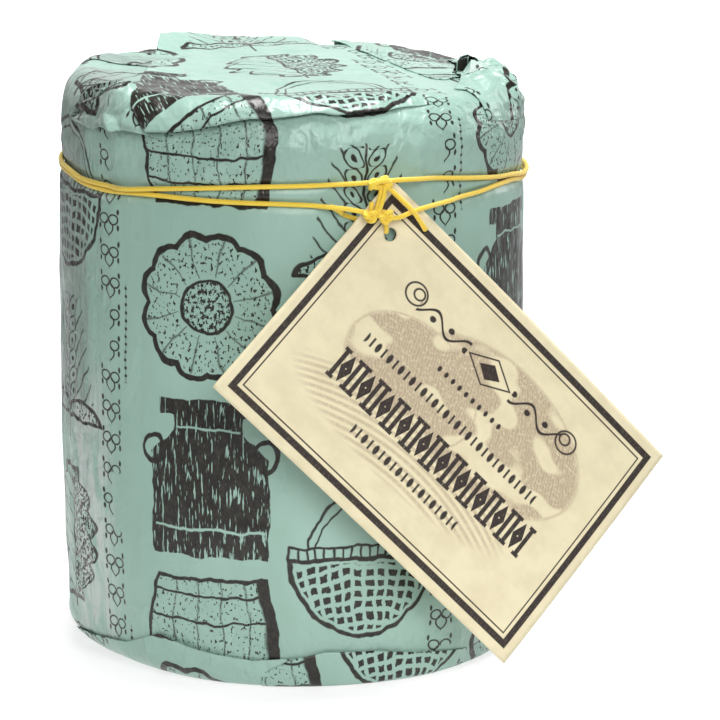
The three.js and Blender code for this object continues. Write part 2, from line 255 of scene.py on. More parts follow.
def creases(across, level, seed, count, span, band, size, depth):
    """Straight paper creases at random places in a band, some up and some down."""
    draw = np.random.default_rng(seed)
    height = np.zeros(np.broadcast(across, level).shape)
    for _ in range(count):
        centre_x, centre_y = draw.uniform(*span), draw.uniform(*band)
        turn, length = draw.uniform(0, math.pi), draw.uniform(0.5, 1) * size
        width, rise = draw.uniform(0.14, 0.3) * length, draw.choice([-1, 1]) * draw.uniform(0.5, 1) * depth
        x = (across - centre_x + girth_length / 2) % girth_length - girth_length / 2
        y = level - centre_y
        along = x * math.cos(turn) + y * math.sin(turn)
        away = -x * math.sin(turn) + y * math.cos(turn)
        height = height + rise * ease_off(away, width) * ease_off(along, length) ** 0.7
    return height


# Meshes

def grid_faces(rows, columns, closed=False, offset=0, flipped=False):
    across = columns if closed else columns - 1
    row, column = np.meshgrid(np.arange(rows - 1), np.arange(across), indexing="ij")
    right = (column + 1) % columns
    corners = [row * columns + column, row * columns + right,
               (row + 1) * columns + right, (row + 1) * columns + column]
    faces = np.stack([corner.ravel() for corner in corners], axis=1) + offset
    return faces[:, ::-1] if flipped else faces


def make_mesh(name, points, faces, chart=None):
    """An object from points in millimetres, and faces as lists of point numbers.

    chart holds a print coordinate for each corner of each face, in the order of the faces."""
    mesh = bpy.data.meshes.new(name)
    mesh.from_pydata((np.asarray(points) * MM).tolist(), [], [list(map(int, face)) for face in faces])
    if chart is not None:
        layer = mesh.uv_layers.new(name="print")
        layer.data.foreach_set("uv", np.asarray(chart, np.float32).ravel() / chart_unit)
    mesh.polygons.foreach_set("use_smooth", [True] * len(mesh.polygons))
    mesh.validate()
    mesh.update()
    obj = bpy.data.objects.new(name, mesh)
    bpy.context.scene.collection.objects.link(obj)
    return obj


def grid_normals(points):
    normals = np.cross(np.gradient(points, axis=1), np.gradient(points, axis=0))
    length = np.linalg.norm(normals, axis=2, keepdims=True)
    return normals / np.maximum(length, 1e-9)


def thin_sheet(name, points, chart, thickness=paper_thickness):
    """A closed thin slab whose outer face is the grid of points."""
    rows, columns = points.shape[:2]
    inner = points - grid_normals(points) * thickness
    half = rows * columns
    bottom = np.arange(columns)
    right = np.arange(rows) * columns + columns - 1
    top = (rows - 1) * columns + np.arange(columns)[::-1]
    left = (np.arange(rows) * columns)[::-1]
    border = np.concatenate([bottom[:-1], right[:-1], top[:-1], left[:-1]])
    after = np.roll(border, -1)
    edge = np.stack([border, border + half, after + half, after], axis=1)
    inside = grid_faces(rows, columns, offset=half, flipped=True)
    faces = np.concatenate([grid_faces(rows, columns), inside, edge])
    charts = np.concatenate([chart.reshape(-1, 2)] * 2)
    return make_mesh(name, np.concatenate([points, inner]).reshape(-1, 3), faces, charts[faces])


def braid_height(angles, along):
    """Two families of threads that cross on the cord's skin."""
    turn = 2 * math.pi * along / braid_pitch
    one = np.cos(braid_strands * angles + turn * 2)
    other = np.cos(braid_strands * angles - turn * 2)
    return np.maximum(one, other) - 0.5


def sweep(name, path, radii, closed):
    """A round braided tube along a path of points, with low cones on open ends."""
    path = np.asarray(path, float)
    count = len(path)
    radii = np.broadcast_to(radii, count)
    if closed:
        tangents = np.roll(path, -1, axis=0) - np.roll(path, 1, axis=0)
    else:
        tangents = np.gradient(path, axis=0)
    tangents /= np.linalg.norm(tangents, axis=1, keepdims=True)
    start = np.cross(tangents[0], [0.31, 0.27, 0.91])
    normals = [start / np.linalg.norm(start)]
    for tangent in tangents[1:]:
        carried = normals[-1] - tangent * np.dot(normals[-1], tangent)
        normals.append(carried / np.linalg.norm(carried))
    normals = np.array(normals)
    binormals = np.cross(tangents, normals)
    drift = 0.0
    if closed:
        last = normals[-1] - tangents[0] * np.dot(normals[-1], tangents[0])
        drift = math.atan2(np.dot(last, binormals[0]), np.dot(last, normals[0]))
    along = np.concatenate([[0], np.cumsum(np.linalg.norm(np.diff(path, axis=0), axis=1))])
    spin = -drift * np.arange(count) / count
    angles = np.linspace(0, 2 * math.pi, cord_sides, endpoint=False)[None, :] + spin[:, None]
    braid = 1 + cord_braid_depth * braid_height(angles, along[:, None])
    ring = (np.cos(angles)[..., None] * normals[:, None] + np.sin(angles)[..., None] * binormals[:, None])
    grid = (path[:, None] + ring * (radii[:, None] * braid)[..., None]).reshape(-1, 3)
    round_cord = np.linspace(0, 1, cord_sides, endpoint=False)[None, :] * braid_chart_width
    chart = np.stack(np.broadcast_arrays(along[:, None], round_cord), axis=2).reshape(-1, 2)
    faces = [list(face) for face in grid_faces(count, cord_sides, closed=True)]
    lap = (count - 1) * cord_sides
    for i in range(cord_sides):
        after = (i + 1) % cord_sides
        if closed:
            faces.append([lap + i, lap + after, after, i])
        else:
            faces += [[len(grid), after, i], [len(grid) + 1, lap + i, lap + after]]
    if not closed:
        tips = [path[0] - tangents[0] * radii[0] * 0.5, path[-1] + tangents[-1] * radii[-1] * 0.5]
        grid, chart = np.concatenate([grid, tips]), np.concatenate([chart, chart[[0, -1]]])
    return make_mesh(name, grid, faces, np.concatenate([chart[face] for face in faces]))


# The wrapped drum's skin

def side_radius(level):
    below = np.maximum(0, (taper_top - level) / taper_span)
    return girth_radius - taper_drop * below**taper_power


def place(azimuth, radius, level):
    turn = np.radians(azimuth)
    parts = np.broadcast_arrays(radius * np.sin(turn), -radius * np.cos(turn), level)
    return np.stack(parts, axis=-1)


def round_side(azimuth):
    """The way round the side to an azimuth, in millimetres."""
    return np.radians(azimuth) * girth_radius


def unrolled(reach):
    """The level that a reach has on the side's paper when it lies flat."""
    return side_top + flat_reach + rim_arc - reach


def polar(x, y):
    """The azimuth and reach of a place on the top."""
    return np.degrees(np.arctan2(x, -y)), np.hypot(x, y)


def wrinkle(azimuth, level):
    """The soft flutes of the wrapped side, and the shallow groove under the cord."""
    turn = np.radians(azimuth)
    folds = np.sin(9 * turn + 0.7) * 0.5 + np.sin(17 * turn + level / 24) * 0.5
    away = np.minimum(1, np.abs(level - cord_level) / wrinkle_fade)
    return wrinkle_depth * folds * away - groove_depth * bell(level, cord_level, groove_reach)


def cord_dents(azimuth, level):
    """How deep the two turns of cord press into the paper."""
    dents = np.zeros(np.broadcast(azimuth, level).shape)
    for turn in (upper_turn, lower_turn):
        places, levels, lifts = np.array(turn).T
        past_start = (azimuth - places[0]) % 360 + places[0]
        here = np.interp(past_start, places, levels, period=360)
        lift = np.interp(past_start, places, lifts, period=360)
        press = cord_dent * (1 - smooth(0, 0.8, lift))
        dents = np.maximum(dents, press * bell(level, here, cord_dent_reach))
    return dents


def side_relief(azimuth, level):
    """Fine waves and creases of the paper on the drum's side."""
    across = round_side(azimuth)
    tight = np.minimum(1, np.abs(level - cord_level) / 7)
    waves = 0.13 * soft_noise(across, level, 9, 52, 11) + 0.07 * soft_noise(across, level, 4.2, 30, 12)
    near_folds = lobe(azimuth, -76, 30) + 0.5 * lobe(azimuth, 95, 26)
    flutes = soft_noise(across, level, 2.4, 40, 13) * 0.16 + facets(across, level / 5, 3.4, 16) * 0.3
    pulled = 0.16 * soft_noise(across, level, 2.6, 40, 19) * bell(level, cord_level, 15)
    gathers = flutes * (0.12 + near_folds) + pulled * (0.35 + near_folds)
    at_foot = smooth(30, 8, level)
    at_rim = smooth(side_top - 12, side_top + 4, level)
    crumple = facets(across, level * 0.8, 11, 14) * (0.12 + 0.3 * at_foot + 0.42 * at_rim)
    fine = facets(across, level, 4.6, 18) * (0.02 + 0.22 * at_rim + 0.10 * at_foot)
    folds = creases(across, level, 71, 46, (-195, 195), (2, 30), 20, 0.42) * smooth(36, 20, level)
    folds = folds + creases(across, level, 72, 90, (-195, 195), (side_top - 12, side_top + 16), 15, 0.5)
    folds = folds + creases(across, level, 73, 50, (-195, 195), (20, 125), 26, 0.18)
    seam = seam_step * smooth(180 - seam_reach, 180, azimuth)
    drawn_in = -1.1 * lobe(azimuth, -90, 28) * bell(level, 141, 8)
    return (waves + gathers + crumple + fine + folds) * (0.2 + 0.8 * tight) + seam + drawn_in


def base_edge_inset(azimuth):
    return base_inset + slack_base_inset * lobe(azimuth, slack_base_azimuth, slack_base_spread)


def top_relief(x, y):
    """The top's gentle unevenness, shared by every layer that lies on it."""
    folds = 0.26 * facets(x, y, 19, 21) + 0.14 * facets(x, y, 8, 24)
    return folds + 0.3 * soft_noise(x, y, 30, 30, 27) + creases(x, y, 74, 30, (-50, 50), (-50, 50), 24, 0.3)


def shoulder(azimuth, reach):
    """Where the rim stands fuller than a plain curve, or sinks below it."""
    left = 1.9 * lobe(azimuth, -90, 34) * bell(reach, flat_reach + 4, 7)
    behind_left = -0.9 * lobe(azimuth, -128, 13) * bell(reach, flat_reach + 2, 9)
    right = -1.7 * lobe(azimuth, 112, 26) * bell(reach, flat_reach + 2, 12)
    notch = -1.6 * lobe(azimuth, 168, 7) * bell(reach, flat_reach + 1, 9)
    return left + behind_left + right + notch


def skin(azimuth, reach, lift):
    """The skin from the top's middle outwards, lifted off the plain form."""
    azimuth, reach, lift = np.broadcast_arrays(azimuth, reach, lift)
    bend = (math.pi / 2) * np.clip((reach - flat_reach) / rim_arc, 0, 1)
    down = np.maximum(0, reach - flat_reach - rim_arc)
    turn = np.radians(azimuth)
    x, y = reach * np.sin(turn), -reach * np.cos(turn)
    level = side_top + rim_drop * np.cos(bend) - down
    share = smooth(flat_reach + rim_arc, flat_reach - 4, reach)
    lift = lift + top_relief(x, y) * share + shoulder(azimuth, reach)
    lift = lift + wrinkle(azimuth, level) * np.sin(bend) + side_relief(azimuth, unrolled(reach)) * (1 - share)
    radius = np.where(reach <= flat_reach, reach, flat_reach + rim_inset * np.sin(bend))
    return place(azimuth, radius + lift * np.sin(bend), level + lift * np.cos(bend))


def foot_skin(azimuth, level, lift):
    """The skin of the side down to the foot, with its rounded bottom edge."""
    height = np.clip(level / base_edge_height, 0, 1)
    tuck = 1 - np.sqrt(1 - (1 - height) ** 2)
    relief = (wrinkle(azimuth, level) + side_relief(azimuth, level)) * height
    relief = relief - cord_dents(azimuth, level)
    return place(azimuth, side_radius(level) - base_edge_inset(azimuth) * tuck + lift + relief, level)


# Print coordinates: where a point of the paper lies on the flat printed sheet

def chart_side(azimuth, level):
    return np.stack(np.broadcast_arrays(round_side(azimuth), level), axis=-1)


def chart_top(azimuth, reach, facing):
    """The top, unrolled about the rim at the azimuth where its paper comes up."""
    apart = np.radians(azimuth - facing)
    across = round_side(facing) + reach * np.sin(apart)
    return np.stack(np.broadcast_arrays(across, unrolled(reach * np.cos(apart))), axis=-1)


def chart_skin(azimuth, reach):
    """The whole drum's paper: the top's print runs into the side's round the rim."""
    here = turned(azimuth)
    facing = np.where(np.abs(here) > 118, np.where(here > 0, back_facing, -back_facing), sheet_facing)
    facing = np.where((here < -40) & (here > -118), left_facing, facing)
    share = smooth(flat_reach, flat_reach + rim_arc, reach)[..., None]
    return chart_top(azimuth, reach, facing) * (1 - share) + chart_side(azimuth, unrolled(reach)) * share


# The paper's pieces

def sheet_grid(rows, columns):
    """Shares from 0 to 1 over a sheet: v grows from row to row, and u along each row."""
    return np.meshgrid(np.linspace(0, 1, rows), np.linspace(0, 1, columns), indexing="ij")


def rim_sheet(name, azimuth, reach, lift, shift):
    """A sheet on the rim, with the side's print shifted."""
    chart = chart_side(azimuth, unrolled(reach)) + np.array(shift)
    return thin_sheet(name, skin(azimuth, reach, lift), chart)


def make_drum_paper():
    azimuths = np.linspace(-180, 180, drum_columns + 1)
    rows, charts = [], []

    def add(points, chart):
        rows.append(points)
        charts.append(chart)

    foot_radius = side_radius(0.0) - base_edge_inset(azimuths)
    for share in (0.3, 0.6, 0.85):
        add(place(azimuths, foot_radius * share, 0.0), chart_side(azimuths, -40 * (1 - share)))
    edge_levels = base_edge_height * (1 - np.cos(np.linspace(0, math.pi / 2, 12)))
    bands = [(base_edge_height, 30, 20), (30, 124, 46), (124, 138, 26), (138, side_top, 5)]
    side_levels = [np.linspace(low, high, count + 1)[1:] for low, high, count in bands]
    for level in np.concatenate([edge_levels, *side_levels]):
        add(foot_skin(azimuths, level, 0.0), chart_side(azimuths, level))
    rim_reaches = np.linspace(flat_reach + rim_arc, flat_reach, 28)[1:]
    top_reaches = flat_reach * np.linspace(1, 0.06, 36)[1:]
    for reach in np.concatenate([rim_reaches, top_reaches]):
        add(skin(azimuths, reach, 0.0), chart_skin(azimuths, np.full_like(azimuths, reach)))
    points, chart = np.array(rows)[:, :-1], np.array(charts)
    corners = [chart[:-1, :-1], chart[:-1, 1:], chart[1:, 1:], chart[1:, :-1]]
    caps = np.stack(corners, axis=2).reshape(-1, 2).tolist()
    faces = [list(face) for face in grid_faces(len(points), drum_columns, closed=True)]
    foot = len(points) * drum_columns
    last = foot - drum_columns
    for i in range(drum_columns):
        after = (i + 1) % drum_columns
        faces += [[foot, after, i], [foot + 1, last + i, last + after]]
        caps += [chart[0, i], chart[0, i + 1], chart[0, i], chart[-1, i], chart[-1, i], chart[-1, i + 1]]
    grid = np.concatenate([points.reshape(-1, 3), [[0, 0, 0.0]], [points[-1].mean(axis=0)]])
    return make_mesh("paper_drum", grid, faces, caps)


def sheet_lift(x):
    return 0.9 - 1.1 * smooth(18, 44, x)


def make_closing_sheet():
    """The sheet over the top, with a lip that stands off the rim in front."""
    v, u = sheet_grid(200, 160)
    left = trace(sheet_left_edge, v)
    x = left + (sheet_right - left) * u
    ragged = 0.35 * soft_noise(x, x * 0, 6, 1, 31)
    front = np.sqrt((trace(lip_reach, x) + ragged) ** 2 - x * x)
    back = np.sqrt((flat_reach + 2) ** 2 - x * x)
    y = -front + (front + back) * v
    at_left = 1.2 * smooth(0.13, 0, u) * smooth(0.75, 0.5, v)
    at_front = trace(lip_stand, x) * (1 - smooth(0, 0.2, v))
    at_back = trace(back_stand, x) * smooth(0.72, 1, v)
    lift = sheet_lift(x) * (1 - np.abs(2 * v - 1) ** 4) + at_front + at_back + at_left
    merged = smooth(40, 22, x)
    ridge = bell(v, 0.075, 0.04) * smooth(-14, 2, x) * smooth(46, 28, x)
    lift = lift + ridge * (0.6 + 0.9 * facets(x, y, 5, 34))
    lift = lift + (0.3 * facets(x, y, 9, 37) + 0.16 * facets(x, y, 4, 39)) * merged
    azimuth, reach = polar(x, y)
    return thin_sheet("paper_closing_sheet", skin(azimuth, reach, lift),
                      chart_top(azimuth, reach, sheet_facing))


def make_left_pleat():
    """The gathered fold on the left shoulder, which comes out from under the closing sheet."""
    v, u = sheet_grid(110, 170)
    azimuth = -70 + 38 * u
    low = 67.4 - 0.3 * u + 0.5 * soft_noise(u, u * 0, 0.12, 1, 44)
    high = low - 21 * np.sin((math.pi / 2) * np.minimum(1, u * 1.3)) - 0.8
    reach = low + (high - low) * v
    shown = smooth(-37, -42.5, reach * np.sin(np.radians(azimuth)))
    puff = 2.0 * np.sin(math.pi * np.minimum(1, v * 1.1)) * smooth(0, 0.3, u)
    spread = 11 * v + 2.5 * soft_noise(u, v, 0.25, 0.25, 41)
    gathers = 1.5 * (np.abs(spread % 2 - 1) - 0.5) * smooth(0.55, 0.1, u) * smooth(0, 0.08, u)
    lift = puff - 1.1 * smooth(0.7, 1, v) + 1.5 * (1 - smooth(0, 0.2, v)) * smooth(0, 0.15, u) + gathers
    across = round_side(azimuth)
    crumple = 1.0 * facets(across, reach, 6.5, 43) + 0.5 * facets(across, reach, 2.8, 46)
    lift = 0.35 + (lift + crumple * smooth(0, 0.2, u)) * shown
    return rim_sheet("paper_left_pleat", azimuth, reach, lift, left_pleat_shift)


def make_right_pleat():
    """The puffed fold on the right shoulder, with a hollow towards the back."""
    v, u = sheet_grid(110, 160)
    azimuth = 57 + 66 * u
    inner = 43 + 8 * np.abs(2 * u - 1)
    outer = 66 + 3 * np.sin(math.pi * u)
    reach = outer + (inner - outer) * v
    body = np.maximum(np.sin(math.pi * u), 0) ** 0.7
    ridges = 0.8 * (np.abs((5.5 * u + 1.1 * v) % 2 - 1) * 2 - 1)
    rise = 2.3 * smooth(0, 0.6, v) * (1 - 0.3 * smooth(0.85, 1, v)) * (1 - 0.5 * smooth(0.45, 0.9, u))
    across = round_side(azimuth)
    crumple = 1.2 * facets(across, reach, 7, 53) + 0.9 * facets(across, reach, 3.0, 57)
    lift = 0.4 + (rise + ridges * np.sin(math.pi * v) + crumple * smooth(0, 0.25, v)) * body
    lift = lift * smooth(0, 0.07, v) + 0.2 * smooth(0.07, 0, v)
    hollow = bell(azimuth, 92, 9) * smooth(0.6, 0.85, v)
    lift = lift * (1 - hollow) + 0.5 * hollow
    return rim_sheet("paper_right_pleat", azimuth, reach, lift, right_pleat_shift)


def patch_places(near, far, v, u):
    """x, y and lift on a patch between two edges of [x, y, lift]."""
    places = np.linspace(0, 1, len(near))
    return (np.interp(u, places, one) * (1 - v) + np.interp(u, places, other) * v
            for one, other in zip(np.array(near).T, np.array(far).T))


def make_ear_pocket():
    """The fold at the ear's inner end: open towards the front, shut behind."""
    v, u = sheet_grid(24, 48)
    x, y, rise = patch_places(ear_mouth, ear_tip, v, u)
    crumple = 0.35 * facets(x, y, 3.2, 95) * np.sin(math.pi * u)
    return rim_sheet("paper_ear_pocket", *polar(x, y), rise + crumple, right_pleat_shift)


def top_patch(name, foot, head, rows, columns, relief, shift):
    """A small sheet on the lid between two edges of [x, y, lift], bulged by relief."""
    v, u = sheet_grid(rows, columns)
    x, y, rise = patch_places(foot, head, v, u)
    lift = rise + (relief + 0.3 * facets(x, y, 3, 97)) * np.sin(math.pi * u) * np.sin(math.pi * v)
    return thin_sheet(name, skin(*polar(x, y), lift), np.stack([x, y], axis=-1) + np.array(shift))


def make_back_pleat():
    """The fold that closes the paper behind, on the left."""
    v, u = sheet_grid(60, 90)
    azimuth = -138 + 34 * u
    outer = 66 + 2 * np.sin(math.pi * u)
    inner = 30 + 16 * np.abs(u - 0.4)
    reach = outer + (inner - outer) * v
    body = np.maximum(np.sin(math.pi * u), 0) ** 0.5 * np.maximum(np.sin(math.pi * v), 0) ** 0.4
    across = round_side(azimuth)
    crumple = 0.5 * facets(across, reach, 8, 63) + 0.3 * facets(across, reach, 3.6, 66)
    return rim_sheet("paper_back_pleat", azimuth, reach, 0.35 + (0.9 + crumple) * body, back_pleat_shift)


def make_back_flap():
    """The last flap, folded over the top from behind, with a free front edge."""
    v, u = sheet_grid(60, 100)
    edge_x = 45 + (11 - 45) * u
    edge_y = trace(back_flap_edge, edge_x)
    rim_azimuth = back_flap_first + (back_flap_last - back_flap_first) * u
    rim = place(rim_azimuth, np.full_like(u, 64.0), 0)
    x = edge_x + (rim[..., 0] - edge_x) * v
    y = edge_y + (rim[..., 1] - edge_y) * v
    azimuth, reach = polar(x, y)
    stand = 1.3 * smooth(0.8, 1, u) * smooth(0.9, 0.2, v) + 0.3 * smooth(0, 0.12, v) * smooth(0.6, 0.2, v)
    crumple = 0.4 * facets(x, y, 7, 83) * smooth(1, 0.8, v) * smooth(0, 0.2, v)
    lift = 0.28 + np.maximum(sheet_lift(x), 0) * smooth(0.5, 0.2, v) + stand + crumple
    chart = chart_top(azimuth, reach, back_facing) + np.array(back_flap_shift)
    return thin_sheet("paper_back_flap", skin(azimuth, reach, lift)[:, ::-1], chart[:, ::-1])


def make_foot_fold(name, fold, shift):
    v, u = sheet_grid(30, 260)
    first, last = fold[0][0], fold[-1][0]
    azimuth = first + (last - first) * u
    low = 0.35
    level = low + (trace(fold, azimuth) - low) * v
    ends = np.sin(math.pi * np.clip(u, 0.001, 0.999)) ** 0.4
    across = round_side(azimuth)
    ridge = 0.5 * ease_off(level - 12 + (azimuth - first - 42) * 0.3, 3.0) * smooth(40, 46, azimuth - first)
    lift = fold_stand * ends + 0.3 * facets(across, level, 6, 61) * v + ridge + 0.3 * v
    chart = chart_side(azimuth, level) + np.array(shift)
    return thin_sheet(name, foot_skin(turned(azimuth), level, lift), chart)


def make_foot_lap():
    """A second layer at the foot that laps over the first from the right."""
    v, u = sheet_grid(16, 120)
    azimuth = -8 + 58 * u
    level = 0.3 + (trace(lap_top, azimuth) - 0.3) * v
    lift = 1.15 - 0.8 * smooth(0.7, 1, u) + 0.3 * facets(round_side(azimuth), level, 6, 91) * v
    chart = chart_side(azimuth, level) + np.array(foot_lap_shift)
    return thin_sheet("paper_foot_lap", foot_skin(azimuth, level, lift), chart)


# The cord

def tied(centre, width, height, depth, turn=0.0):
    """A closed overhand knot round centre [azimuth, level, lift], as wide and high as given."""
    angle = np.linspace(0, 2 * math.pi, 96, endpoint=False)
    across = (np.sin(angle) + 2 * np.sin(2 * angle)) / 5.3
    up = (np.cos(angle) - 2 * np.cos(2 * angle)) / 5.3
    cos, sin = math.cos(turn), math.sin(turn)
    azimuth = np.degrees((across * cos - up * sin) * width / girth_radius)
    level = (across * sin + up * cos) * height
    lift = -depth * np.sin(3 * angle)
    return cord_places(np.stack([azimuth, level, lift], axis=1) + np.array(centre, float))


def spline(places, step):
    """A smooth curve through the places, with about step between its points."""
    places = np.asarray(places, float)
    padded = np.concatenate([[2 * places[0] - places[1]], places, [2 * places[-1] - places[-2]]])
    points = []
    for a, b, c, d in zip(padded, padded[1:], padded[2:], padded[3:]):
        pieces = max(2, int(np.linalg.norm(c - b) / step))
        for t in np.arange(pieces) / pieces:
            points.append(0.5 * (2 * b + (c - a) * t + (2 * a - 5 * b + 4 * c - d) * t**2
                                 + (3 * b - a - 3 * c + d) * t**3))
    return np.array([*points, places[-1]])


def cord_places(chart):
    """Points of the cord's middle for [azimuth, level, lift]: with no lift it is seated in the paper."""
    azimuth, level, lift = np.asarray(chart, float).T
    paper = side_radius(level) + wrinkle(azimuth, level)
    off_paper = smooth(0, 1, lift)
    gap = cord_gap * off_paper - cord_seat * (1 - off_paper)
    return place(azimuth, paper + gap + cord_radius + lift, level)


def turn_path(places):
    """A whole turn, closed on itself round the back of the drum."""
    whole_turn = np.array([360, 0, 0])
    first, second = np.array(places[:2]) + whole_turn
    curve = spline([np.array(places[-1]) - whole_turn, *places, first, second], 0.7)
    azimuths = curve[:, 0]
    inside = (azimuths >= places[0][0]) & (azimuths < places[0][0] + 360 - 0.3)
    return cord_places(curve[inside])


def run_path(places):
    return spline(cord_places(places), 0.4)


def tag_frame():
    """The card's outward, level and upward directions."""
    azimuth, tilt = math.radians(tag_azimuth), math.radians(tag_tilt)
    outward = np.array([math.sin(azimuth) * math.cos(tilt),
                        -math.cos(azimuth) * math.cos(tilt), math.sin(tilt)])
    level = np.array([math.cos(azimuth), math.sin(azimuth), 0.0])
    return outward, level, np.cross(outward, level)


def tag_point(x, y, depth):
    """A point of the card, x to the right and y upwards from its top corner."""
    outward, level, upward = tag_frame()
    x, y, depth = (np.asarray(part, float)[..., None] for part in np.broadcast_arrays(x, y, depth))
    corner = place(tag_corner_azimuth, tag_corner_radius, tag_corner_level)
    bow = tag_bow * (x / tag_bow_reach) ** 2
    return corner + level * x + upward * y - outward * (depth + bow)


def hole_loop_path():
    """The cord's way through the card's hole and back to the paper behind it."""
    behind = cord_gap + cord_radius + tag_thickness
    around = [(-2.4, 6.6, -1.7), (-2.1, 4.4, -1.7), (-1.5, 2.1, -1.0), (-1.15, 0.9, -0.1),
              (-1.3, 1.0, tag_thickness), (-2.2, 1.9, behind - 0.4), (-4.2, 3.0, behind - 0.2)]
    on_card = [tag_point(tag_hole_shift + x, -tag_hole_drop + y, depth) for x, y, depth in around]
    return spline(np.concatenate([np.array(on_card), cord_places(loop_on_paper)]), 0.4)


def make_cord():
    """Every run and knot: its path, its thickness, and whether it closes on itself."""
    tail_path = run_path(tail)
    tail_strand = cord_strand * (1 + 0.16 * smooth(0.82, 1, np.linspace(0, 1, len(tail_path))))
    runs = [
        ("cord_upper_turn", turn_path(upper_turn), cord_strand, True),
        ("cord_lower_turn", turn_path(lower_turn), cord_strand, True),
        ("cord_tail", tail_path, tail_strand, False),
        ("cord_left_link", run_path(left_link), cord_strand, False),
        ("cord_right_link", run_path(right_link), cord_strand, False),
        ("cord_upper_knot", tied((20.2, 135.2, 3.0), 4.6, 3.0, 0.8, 0.5), knot_strand, True),
        ("cord_over_knot", run_path(over_knot), knot_strand, False),
        ("cord_left_knot", tied((17.5, 127.2, 4.3), 2.9, 2.3, 0.7), knot_strand, True),
        ("cord_right_knot", tied((21.0, 127.1, 4.6), 3.2, 2.0, 0.7, 0.3), knot_strand, True),
        ("cord_drop_loop", run_path(drop_loop), cord_strand, False),
        ("cord_knot_end", run_path(knot_end), cord_strand, False),
        ("cord_tag_loop", hole_loop_path(), cord_strand, False),
    ]
    return [sweep(*run) for run in runs]


# The card tag

def make_tag():
    across, down = np.meshgrid(np.linspace(0, tag_length, 92), np.linspace(tag_width, 0, 60))
    turn = math.radians(tag_turn)
    x = across * math.cos(turn) - down * math.sin(turn)
    y = -across * math.sin(turn) - down * math.cos(turn)
    chart = np.stack([across, tag_width - down], axis=-1)
    card = thin_sheet("tag_card", tag_point(x, y, 0.0), chart, tag_thickness)
    hole = Vector(tag_point(tag_hole_shift, -tag_hole_drop, 0.0) * MM)
    outward = Vector(tag_frame()[0])
    bpy.ops.mesh.primitive_cylinder_add(vertices=48, radius=tag_hole_radius * MM, depth=8 * MM)
    punch = bpy.context.object
    punch.matrix_world = Matrix.Translation(hole) @ outward.to_track_quat("Z", "Y").to_matrix().to_4x4()
    cut = card.modifiers.new("hole", "BOOLEAN")
    cut.operation = "DIFFERENCE"
    cut.object = punch
    graph = bpy.context.evaluated_depsgraph_get()
    mesh = bpy.data.meshes.new_from_object(card.evaluated_get(graph))
    card.modifiers.clear()
    card.data = mesh
    bpy.data.objects.remove(punch)
    return card


# Materials: numbers that their nodes work out

class Value:
    """A number that a material's nodes work out, written with Python's own signs."""

    def __init__(self, tree, socket):
        self.tree = tree
        self.socket = socket

    def math(self, operation, *others):
        inputs = dict(enumerate((self, *others)))
        return Value(self.tree, make_node(self.tree, "Math", inputs, operation=operation)[0])

    def __add__(self, other):
        return self.math("ADD", other)

    def __sub__(self, other):
        return self.math("SUBTRACT", other)

    def __rsub__(self, other):
        return self * -1 + other

    def __mul__(self, other):
        return self.math("MULTIPLY", other)

    def __truediv__(self, other):
        return self.math("DIVIDE", other)

    def __abs__(self):
        return self.math("ABSOLUTE")

    def ramp(self, low, high):
        """0 at low and 1 at high, held outside them."""
        inputs = {"Value": self, "From Min": low, "From Max": high}
        return Value(self.tree, make_node(self.tree, "MapRange", inputs)["Result"])

    def wrap(self, half):
        return self.math("WRAP", half, -half)

    def share_of(self, step):
        """How far into its step of this size the number is, from 0 to 1."""
        return (self / step).math("FRACT")

    def in_step(self, step):
        """The way from the middle of the number's step."""
        return self.share_of(step) * step - step / 2


def make_node(tree, kind, inputs, **settings):
    """The outputs of a new node. An input is a plain number or colour, or what another node gives."""
    node = tree.nodes.new("ShaderNode" + kind)
    for name, setting in settings.items():
        setattr(node, name, setting)
    for slot, value in inputs.items():
        if isinstance(value, Value):
            value = value.socket
        if isinstance(value, bpy.types.NodeSocket):
            tree.links.new(value, node.inputs[slot])
        else:
            node.inputs[slot].default_value = value
    return node.outputs


def either(*values):
    return reduce(lambda one, other: one.math("MAXIMUM", other), values)


def both(*values):
    return reduce(lambda one, other: one.math("MINIMUM", other), values)


def fill(distance, soft=0.12):
    """Ink inside an outline: distance is below zero there."""
    return distance.ramp(soft, -soft)


def stroke(distance, width, soft=0.12):
    return abs(distance).ramp(width / 2 + soft, width / 2 - soft)


def within(value, half, soft=0.1):
    """1 where a number is nearer to zero than half."""
    return abs(value).ramp(half + soft, half - soft)


def ellipse(x, y, wide, high):
    across, up = x / wide, y / high
    return ((across * across + up * up).math("SQRT") - 1) * min(wide, high)


def slab(x, y, wide, high):
    return either(abs(x) - wide, abs(y) - high)


def join(tree, x, y):
    return make_node(tree, "CombineXYZ", {"X": x, "Y": y})["Vector"]


def split(tree, vector):
    parts = make_node(tree, "SeparateXYZ", {"Vector": vector})
    return Value(tree, parts["X"]), Value(tree, parts["Y"])


class Canvas:
    """A material's printed sheet: its coordinates in millimetres and its noises."""

    def __init__(self, tree):
        self.tree = tree
        x, y = split(tree, make_node(tree, "UVMap", {}, uv_map="print")["UV"])
        self.x, self.y = x * chart_unit, y * chart_unit

    def noise(self, cell_x, cell_y, detail=2.0, roughness=0.5, aside=0):
        """Noise from 0 to 1 with about one hump to a cell, laid on the print."""
        x = self.x + aside if aside else self.x
        spot = join(self.tree, x / cell_x, self.y / cell_y)
        inputs = {"Vector": spot, "Scale": 1, "Detail": detail, "Roughness": roughness}
        return Value(self.tree, make_node(self.tree, "TexNoise", inputs, noise_dimensions="2D")["Fac"])


def mix_colours(tree, share, first, second):
    inputs = {"Factor": share, "A": first, "B": second}
    return make_node(tree, "Mix", inputs, data_type="RGBA")["Result"]


def bump(tree, height, strength, distance, **before):
    inputs = {"Strength": strength, "Distance": distance * MM, "Height": height}
    return make_node(tree, "Bump", inputs | before)["Normal"]


